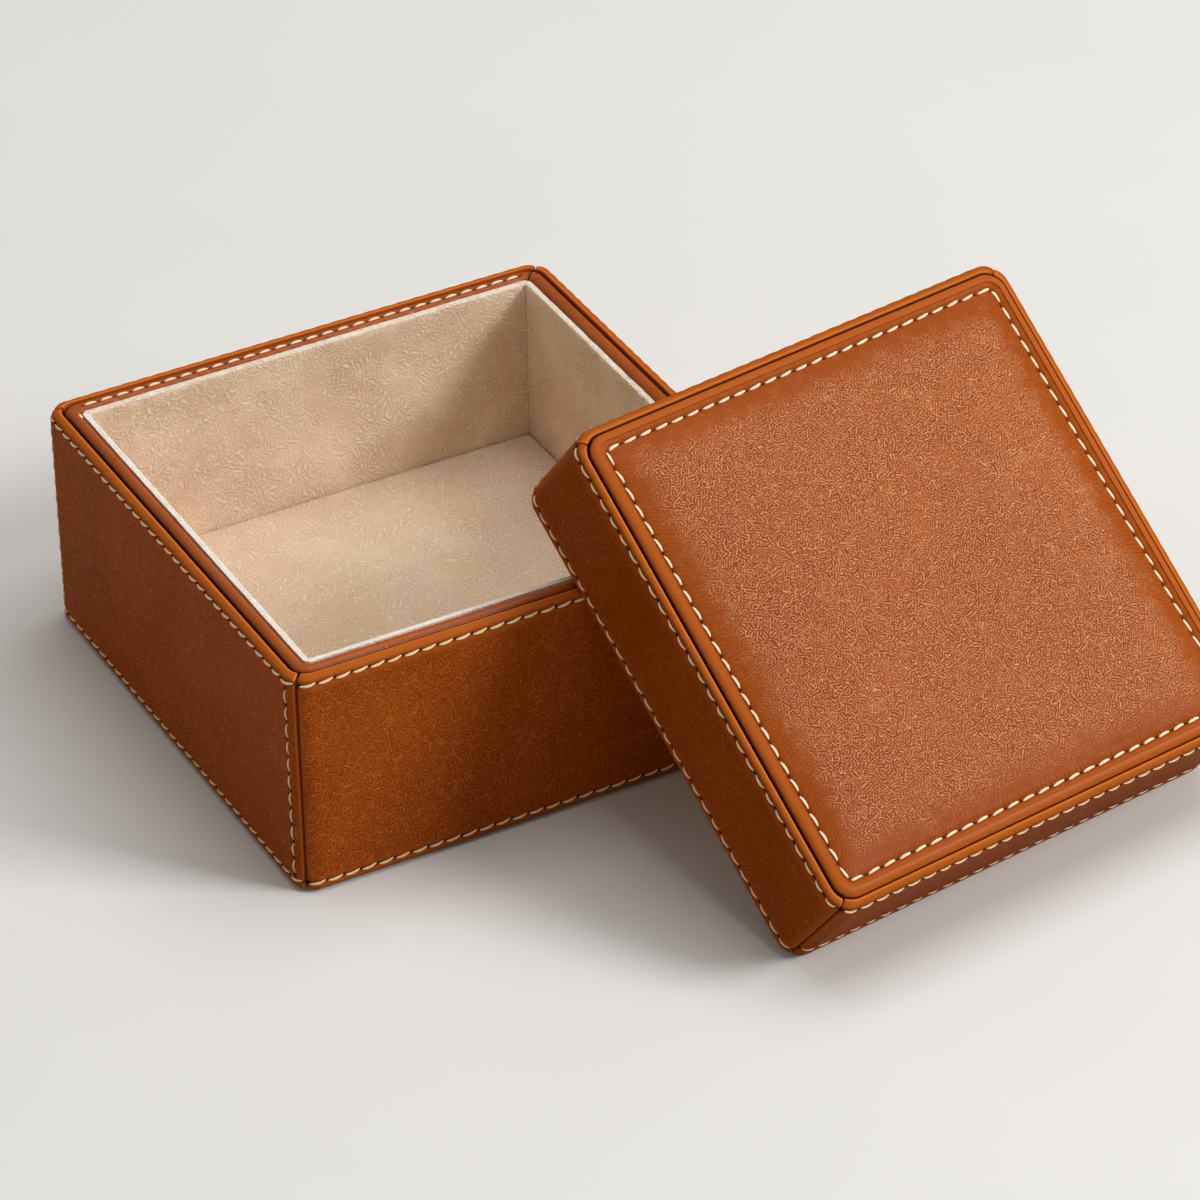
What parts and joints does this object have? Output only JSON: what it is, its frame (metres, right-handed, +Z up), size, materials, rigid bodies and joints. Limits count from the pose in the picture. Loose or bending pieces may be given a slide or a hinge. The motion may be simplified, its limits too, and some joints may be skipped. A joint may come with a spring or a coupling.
{
  "type": "leather gift box",
  "caption": "Square leather-covered gift box lined in suede, with a lower lift-off lid that has a padded, stitched top and stands leaning on the base.",
  "frame": {"origin": "middle of the base's underside, on the table", "axes": "+Z up; -Y towards the front wall, on which the lid leans; +X to the right along the front wall"},
  "size_m": [0.2183, 0.2368, 0.1039],
  "materials": {
    "leather": "semi-gloss grained, cognac brown",
    "suede": "matt brushed nap, beige",
    "board": "raw fibre board",
    "foam": "matt open foam",
    "thread": "waxed cream thread"
  },
  "bodies": {
    "base": {"underside_panel": "leather", "base_bottom_board": "board", "base_wall_board_front": "board", "base_wall_board_right": "board", "base_wall_board_back": "board", "base_wall_board_left": "board", "base_side_panel_front": "leather", "base_side_panel_right": "leather", "base_side_panel_back": "leather", "base_side_panel_left": "leather", "rim_welt": "leather", "base_lining_front": "suede", "base_lining_right": "suede", "base_lining_back": "suede", "base_lining_left": "suede", "floor_foam": "foam", "floor_pad": "suede"},
    "lid": {"lid_band_front": "leather", "lid_band_right": "leather", "lid_band_back": "leather", "lid_band_left": "leather", "lid_wall_board_front": "board", "lid_wall_board_right": "board", "lid_wall_board_back": "board", "lid_wall_board_left": "board", "lid_lining_front": "suede", "lid_lining_right": "suede", "lid_lining_back": "suede", "lid_lining_left": "suede", "lid_top_board": "board", "lid_ceiling_pad": "suede", "lid_top_foam": "foam", "lid_top_panel": "leather", "lid_tab_front": "suede", "lid_tab_right": "suede", "lid_tab_back": "suede", "lid_tab_left": "suede"}
  },
  "joints": [
    {"name": "lid_lift", "type": "slide", "parent": "base", "child": "lid", "axis": [0, 0, 1], "range_m": [0, 0.16]}
  ]
}
